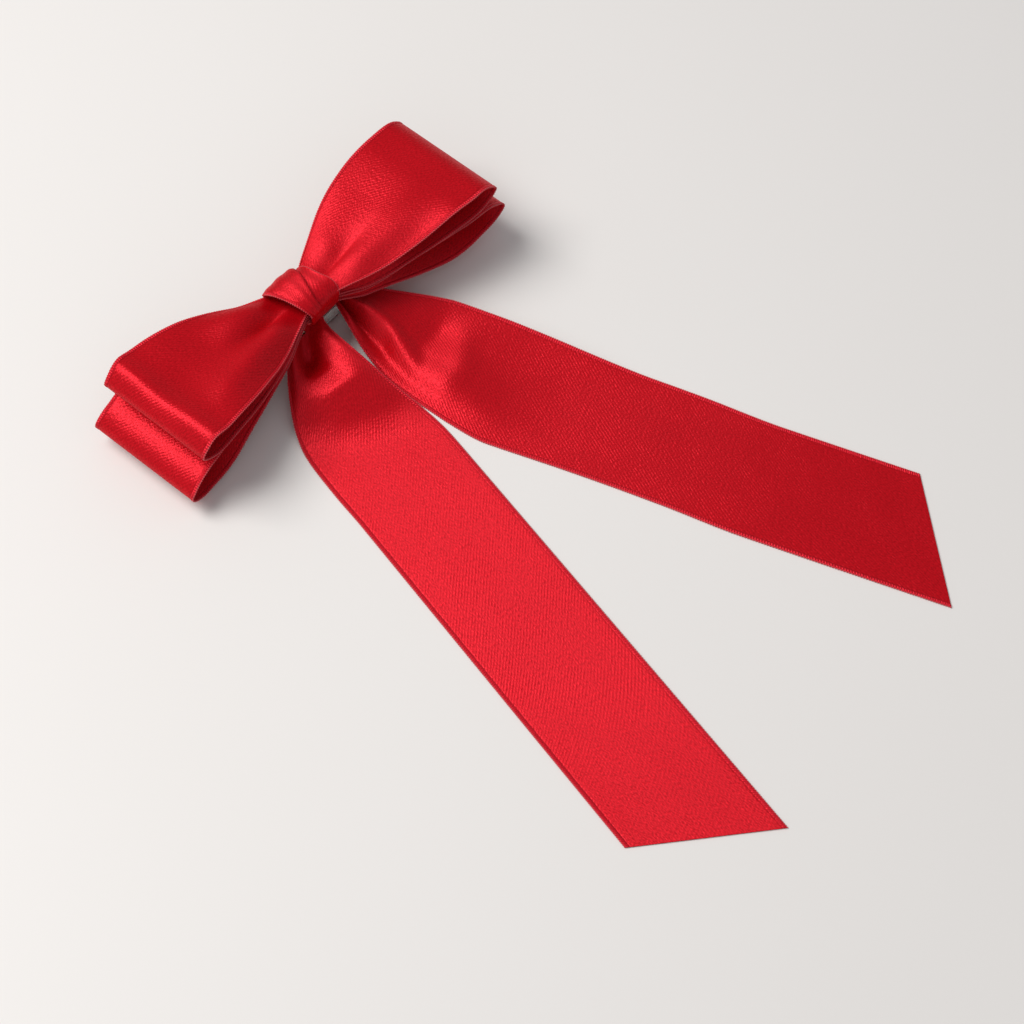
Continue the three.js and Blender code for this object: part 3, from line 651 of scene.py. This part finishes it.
def tail_surface(tail, left_edge, right_edge, lines):
    """lines run along the tail from its left edge to its right edge. Each is (share across, heights), and
    both can change with the distance as [distance, value] points."""
    heading = math.radians(tail["heading"])
    along = np.array([math.sin(heading), -math.cos(heading)])
    across = np.array([math.cos(heading), math.sin(heading)])

    def surface(distances, v):
        t = (v + 0.5)[None, :]
        reach = smoothstep(distances, 0.6 * tail["length"], tail["length"])[:, None]
        d = distances[:, None] + tail["slant"] * v[None, :] * reach
        left, right = curve_through(left_edge, d), curve_through(right_edge, d)
        side = left + (right - left) * t
        shares = np.stack([curve_through(share, d) if isinstance(share, list) else share + 0 * d
                           for share, _ in lines])
        heights = np.stack([curve_through(points, d) for _, points in lines])
        i = np.clip((shares <= t).sum(0) - 1, 0, len(lines) - 2)
        steps = np.diff(shares, axis=0)
        rises = np.diff(heights, axis=0) / steps
        inner = (rises[:-1] * steps[1:] + rises[1:] * steps[:-1]) / (steps[1:] + steps[:-1])
        slopes = np.concatenate([rises[:1], inner, rises[-1:]])
        step = picked(steps, i)
        z = between(picked(heights, i), picked(heights, i + 1),
                    step * picked(slopes, i), step * picked(slopes, i + 1),
                    np.clip((t - picked(shares, i)) / step, 0, 1))
        z = np.maximum(z, FLAT)
        x = tail["start"][0] + along[0] * d + across[0] * side
        y = tail["start"][1] + along[1] * d + across[1] * side
        return np.stack([x, y, z], -1)

    return surface


LEFT_SURFACE = tail_surface(
    LEFT_TAIL,
    left_edge=[(-6, 1), (1, -0.5), (8, -6.8), (17.5, -12.9), (28, -17.4), (38, -19.1), (50, -19.3),
               (62, -19), (FAR, -19)],
    right_edge=[(-6, 11), (1, 9.5), (5.3, 8.2), (12, 9.2), (24.7, 12.7), (41, 17.7), (52, 18.9),
                (62, 19), (FAR, 19)],
    lines=[
        (0.0, [(-6, 11.5), (1, 11.2), (8, 9), (14, 6.4), (20, 4), (28, 1.2), (34, FLAT), (FAR, FLAT)]),
        (0.12, [(-6, 11.5), (1, 11.6), (8, 10.6), (14, 8.4), (20, 5.6), (28, 1.8), (35, 0.5), (42, FLAT),
                (FAR, FLAT)]),
        (0.3, [(-6, 11.5), (1, 9.5), (5, 6), (9, 4.4), (13, 5.4), (17, 6.4), (21, 6), (29, 2.4), (36, 0.6),
               (42, FLAT), (FAR, FLAT)]),
        (0.5, [(-6, 11.5), (1, 10.4), (6, 5.8), (10, 3.2), (14, 5), (17.5, 6.9), (23, 7), (27, 5), (33, 2),
               (39, 0.6), (45, FLAT), (FAR, FLAT)]),
        (0.7, [(-6, 11.5), (1, 11.4), (6, 9.4), (12, 8), (17, 7.9), (23, 7.8), (28, 5.4), (35, 2), (41, 0.6),
               (47, FLAT), (FAR, FLAT)]),
        (0.88, [(-6, 11.5), (1, 12), (8, 11), (16, 10), (22, 8.4), (29, 5), (36, 1.8), (43, 0.6), (50, FLAT),
                (FAR, FLAT)]),
        (1.0, [(-6, 11.5), (1, 11.6), (8, 10.2), (16, 9), (22, 7), (29, 4), (36, 1.4), (43, FLAT),
               (FAR, FLAT)]),
    ])
RIGHT_SURFACE = tail_surface(
    RIGHT_TAIL,
    left_edge=[(-7, -8), (0, 3), (3, 6.3), (6, 4.2), (10, 1.2), (13.5, -1.2), (17, -3.2), (21.5, -5.6),
               (26, -8.5), (32, -10.8), (42, -13.8), (50, -16), (62, -18), (85, -17.8), (115, -18.3),
               (140, -19.4), (FAR, -19)],
    right_edge=[(-7, 2), (0, 9), (3, 11.5), (10, 14.5), (18, 17.2), (24, 19), (30, 20.6), (37, 21.8),
                (50, 22), (62, 21.8), (85, 20.8), (115, 20), (140, 18.8), (FAR, 19)],
    lines=[
        (0.0, [(-7, 10), (0, 9.4), (6, 8.2), (10, 7), (13.5, 5), (17, 2.6), (21.5, 0.6), (26, FLAT),
               (FAR, FLAT)]),
        ([(-7, 0.14), (6, 0.14), (13, 0.08), (20, 0.05), (30, 0.04), (FAR, 0.04)],
         [(-7, 10), (0, 9.8), (6, 9), (10, 7.9), (13.5, 5.8), (17, 3.2), (21.5, 1.1), (26, 0.6), (34, 0.6),
          (50, FLAT), (FAR, FLAT)]),
        ([(-7, 0.26), (5, 0.26), (9, 0.3), (13, 0.3), (17, 0.28), (21, 0.26), (28, 0.2), (36, 0.12),
          (FAR, 0.11)],
         [(-7, 10), (0, 8.5), (6, 5.6), (10, 3.8), (13, 2.6), (17, 1.6), (21, 1.1), (26, 0.9), (31, 0.9),
          (36, 1.1), (43, 1.3), (50, 0.9), (60, 0.5), (72, FLAT), (FAR, FLAT)]),
        ([(-7, 0.4), (7, 0.42), (13, 0.48), (20, 0.46), (24, 0.4), (28, 0.33), (31, 0.28), (36, 0.22),
          (43, 0.2), (FAR, 0.2)],
         [(-7, 10), (0, 9.8), (7, 9.7), (13, 9.6), (20, 7.9), (24, 6.5), (28, 4.9), (32, 3.6), (36, 3),
          (43, 3.3), (50, 2.3), (60, 1.1), (70, 0.5), (82, FLAT), (FAR, FLAT)]),
        ([(-7, 0.58), (7, 0.58), (20, 0.6), (28, 0.52), (36, 0.42), (FAR, 0.42)],
         [(-7, 10), (0, 9.4), (7, 9), (13, 8.6), (20, 6.8), (28, 4.4), (33, 3.1), (39, 3.6), (45, 4.3),
          (52, 2.9), (60, 1.5), (70, 0.6), (82, FLAT), (FAR, FLAT)]),
        (0.7, [(-7, 10), (0, 9.3), (7, 8.6), (13, 7.8), (20, 6.4), (28, 4.2), (35, 2.4), (43, 3.2), (50, 2.4),
               (60, 1.3), (70, 0.6), (82, FLAT), (FAR, FLAT)]),
        (0.86, [(-7, 10), (0, 9.2), (7, 8.2), (13, 7.2), (20, 6), (28, 4.6), (35, 3.4), (44, 3.2), (54, 2.3),
                (64, 1.4), (80, 0.7), (100, FLAT), (FAR, FLAT)]),
        (1.0, [(-7, 10), (0, 9), (7, 7.8), (13, 7), (20, 6), (28, 5), (35, 4.3), (44, 3.7), (54, 3.2),
               (62, 2.6), (80, 1.4), (100, FLAT), (FAR, FLAT)]),
    ])


def make_tail(name, tail, surface, nodes):
    """A tail with its two rows of edge stitches."""
    start, end = TAIL_START, tail["length"]
    near = np.arange(start, FINE_UNTIL, FINE_ROW)
    distances = np.concatenate([near, np.linspace(FINE_UNTIL, end - CUT_RIM, FLAT_ROWS), [end]])
    ribbon = ribbon_mesh(name, surface, distances, columns_across(TAIL_COLUMNS), SATIN)
    edges = [edge_stitches(f"{name}_{side}_edge", surface, start, end, v_edge, STITCHING)
             for side, v_edge in (("left", -0.5), ("right", 0.5))]
    for piece in (ribbon, *edges):
        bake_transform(piece)
    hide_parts(*nodes)


make_tail("left_tail_ribbon", LEFT_TAIL, LEFT_SURFACE, ("left_tail_top", "left_tail_end"))
make_tail("right_tail_ribbon", RIGHT_TAIL, RIGHT_SURFACE, ("right_tail_top", "right_tail_end"))

# ---- Knot ----
# One folded band goes right round the gathered middle, and a second turn slants over its front.

def wrap_line(half_depth, half_height, middle):
    """A rounded line round the gathered middle, as (y, z), from +Y over the face to -Y and back."""
    angle = np.linspace(0, 2 * math.pi, 160, endpoint=False)
    c, s = np.cos(angle), np.sin(angle)
    y = half_depth * np.sign(c) * np.abs(c) ** (2 / KNOT_ROUNDNESS)
    z = middle + half_height * np.sign(s) * np.abs(s) ** (2 / KNOT_ROUNDNESS)
    return Path(np.stack([y, z], -1), fine=4)


def half_folded(v):
    """A ribbon folded lengthwise: its place across, from one woven edge to the fold and back under it,
    and whether it is under, from 0 to 1."""
    t = v + 0.5
    back = 0.5 - UNDER_REACH * (t - FOLD_AT) / (1 - FOLD_AT)
    under = smoothstep(t, FOLD_AT - FOLD_HALF, FOLD_AT + FOLD_HALF)
    return np.where(t < FOLD_AT, t / FOLD_AT - 0.5, back), under


def band_surface(line, left, right, lift, mirrored=False):
    """A folded band along a line. left and right are its edges, as [share of the way round, x] points."""
    def surface(distances, v):
        share = np.mod(distances / line.length, 1)[:, None]
        spot = line.at(np.mod(distances, line.length))
        tangent = line.at(np.mod(distances + 0.3, line.length)) - spot
        tangent /= np.linalg.norm(tangent, axis=1, keepdims=True)
        out = np.stack([tangent[:, 1], -tangent[:, 0]], -1)
        place, under = half_folded(-v[None, :] if mirrored else v[None, :])
        if mirrored:
            place = -place
        x = lerp(curve_through(left, share), curve_through(right, share), place + 0.5)
        height = lift(share, place) - UNDER_DEPTH * under
        return np.stack([x, spot[:, :1] + out[:, :1] * height, spot[:, 1:] + out[:, 1:] * height], -1)

    return surface


def band_lift(share, place):
    """The band bulges over the face, with faint folds along it."""
    face = np.sin(np.clip(share, 0, 0.5) * 2 * math.pi)
    return face * (BAND_BULGE * (1 - (2 * place) ** 2)
                   + BAND_FOLDS * np.cos(7 * math.pi * place + 4 * share))


def wrap_lift(share, place):
    """The second turn bulges a little and has faint folds, and is tucked under at both ends."""
    return (WRAP_BULGE * (1 - (2 * place) ** 2) + WRAP_FOLDS * np.sin(5 * math.pi * place + 0.8)
            - WRAP_TUCKS[0] * (1 - smoothstep(share, 0, 0.07)) - WRAP_TUCKS[1] * smoothstep(share, 0.44, 0.5))


def make_knot():
    """The band and its second turn, each with stitches along the woven edge that shows."""
    v = columns_across(KNOT_COLUMNS)
    across_mm = (v + 0.5) * KNOT_RIBBON_WIDTH

    band_line = wrap_line(7.4, KNOT_HALF_HEIGHT - 0.55, KNOT_MIDDLE - 0.7)
    band_form = band_surface(
        band_line,
        left=[(0, -5), (0.12, -5.5), (0.3, -5.5), (0.45, -4.2), (0.6, -4), (0.85, -4), (1, -5)],
        right=[(0, 5.2), (0.12, 6.2), (0.25, 6.8), (0.36, 7.9), (0.44, 7.6), (0.52, 6.8), (0.6, 5.6),
               (0.7, 4), (0.85, 4), (1, 5.2)],
        lift=band_lift, mirrored=True)
    distances = np.linspace(0, band_line.length, BAND_ROWS, endpoint=False)
    band = ribbon_mesh("knot_band", band_form, distances, v, SATIN, closed=True, across_mm=across_mm)
    band_edge = edge_stitches("knot_band_edge", band_form, 0.02 * band_line.length, 0.48 * band_line.length,
                              0.5, STITCHING)

    wrap = wrap_line(8.3, KNOT_HALF_HEIGHT + 0.7, KNOT_MIDDLE)
    wrap_form = band_surface(
        wrap,
        left=[(0, -7), (0.1, -8.6), (0.2, -7.7), (0.26, -7.0), (0.32, -6.4), (0.38, -5.6), (0.45, -4.4),
              (0.5, -3.6)],
        right=[(0, 4), (0.1, 3.6), (0.2, 2.6), (0.26, 1.4), (0.32, 0.2), (0.38, -0.7), (0.45, -0.6),
               (0.5, -0.4)],
        lift=wrap_lift)
    distances = np.linspace(0.0, 0.5 * wrap.length, WRAP_ROWS)
    cover = ribbon_mesh("knot_wrap", wrap_form, distances, v, SATIN, across_mm=across_mm)
    cover_edge = edge_stitches("knot_wrap_edge", wrap_form, 0.03 * wrap.length, 0.48 * wrap.length,
                               -0.5, STITCHING)

    for piece in (band, band_edge, cover, cover_edge):
        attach(piece, "bow")
        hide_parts("knot_ribbon")


make_knot()

# ---- Clip, thread and glue keep their CAD shape ----

NICKEL, SPRING = nickel_material(), spring_material()
FINISHES = {
    "base_plate": NICKEL, "lever_arm": NICKEL, "hinge_pin": NICKEL, "clasp_rivet": NICKEL,
    "tension_strip": SPRING, "clasp_bracket": SPRING, "clasp_prong_front": SPRING, "clasp_prong_back": SPRING,
    "binding_thread": thread_material(), "glue_pad": glue_material(),
}
for node, material in FINISHES.items():
    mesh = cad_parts[node].data
    mesh.materials.clear()
    mesh.materials.append(material)

# ---- Floor, lights and camera ----


def add_floor():
    """The table, as a square of six metres."""
    mesh = bpy.data.meshes.new("floor")
    half = 3.0
    corners = [(-half, -half, 0), (half, -half, 0), (half, half, 0), (-half, half, 0)]
    mesh.from_pydata(corners, [], [(0, 1, 2, 3)])
    mesh.materials.append(floor_material())
    floor = bpy.data.objects.new("floor", mesh)
    bpy.context.scene.collection.objects.link(floor)


KEY_LIGHT = {"direction": (-0.30, 0.47, 0.83), "distance": 1.3, "size": 0.7, "watts": 15.8,
             "colour": (1.0, 0.985, 0.96)}
FILL_LIGHT = {"direction": (-0.9, -0.5, 0.7), "distance": 1.6, "size": 1.4, "watts": 2.5,
              "colour": (0.96, 0.98, 1.0)}
SKY_COLOUR, SKY_STRENGTH = (0.95, 0.97, 1.0, 1), 0.36


def add_light(name, direction, distance, size, watts, colour):
    """A square soft light that looks at the bow's middle from a direction. Measures are in metres."""
    light = bpy.data.lights.new(name, "AREA")
    light.size, light.energy, light.color = size, watts, colour
    lamp = bpy.data.objects.new(name, light)
    middle = Vector((0, -0.08, 0))
    towards = Vector(direction).normalized()
    lamp.location = middle + towards * distance
    lamp.rotation_mode = "QUATERNION"
    lamp.rotation_quaternion = towards.to_track_quat("Z", "Y")
    bpy.context.scene.collection.objects.link(lamp)


def add_camera():
    """The camera that sees the bow as the photo does, with its small roll."""
    position = Vector((-0.28866, -0.29681, 0.61673))
    aim = Vector((-0.00772, -0.08510, 0))
    roll = math.radians(2.786)
    back = (position - aim).normalized()
    level = Vector((0, 0, 1)).cross(back).normalized()
    upright = back.cross(level)
    right = level * math.cos(roll) + upright * math.sin(roll)
    up = back.cross(right)
    data = bpy.data.cameras.new("camera")
    data.lens, data.sensor_width = 88.0, 36.0
    data.clip_start, data.clip_end = 0.01, 20
    camera = bpy.data.objects.new("camera", data)
    camera.matrix_world = Matrix.Translation(position) @ Matrix((right, up, back)).transposed().to_4x4()
    bpy.context.scene.collection.objects.link(camera)
    bpy.context.scene.camera = camera


add_floor()
add_camera()
add_light("key", **KEY_LIGHT)
add_light("fill", **FILL_LIGHT)
world = bpy.data.worlds.new("studio")
world.use_nodes = True
sky = world.node_tree.nodes["Background"]
sky.inputs["Color"].default_value = SKY_COLOUR
sky.inputs["Strength"].default_value = SKY_STRENGTH
bpy.context.scene.world = world
bpy.context.scene.view_settings.view_transform = "Standard"
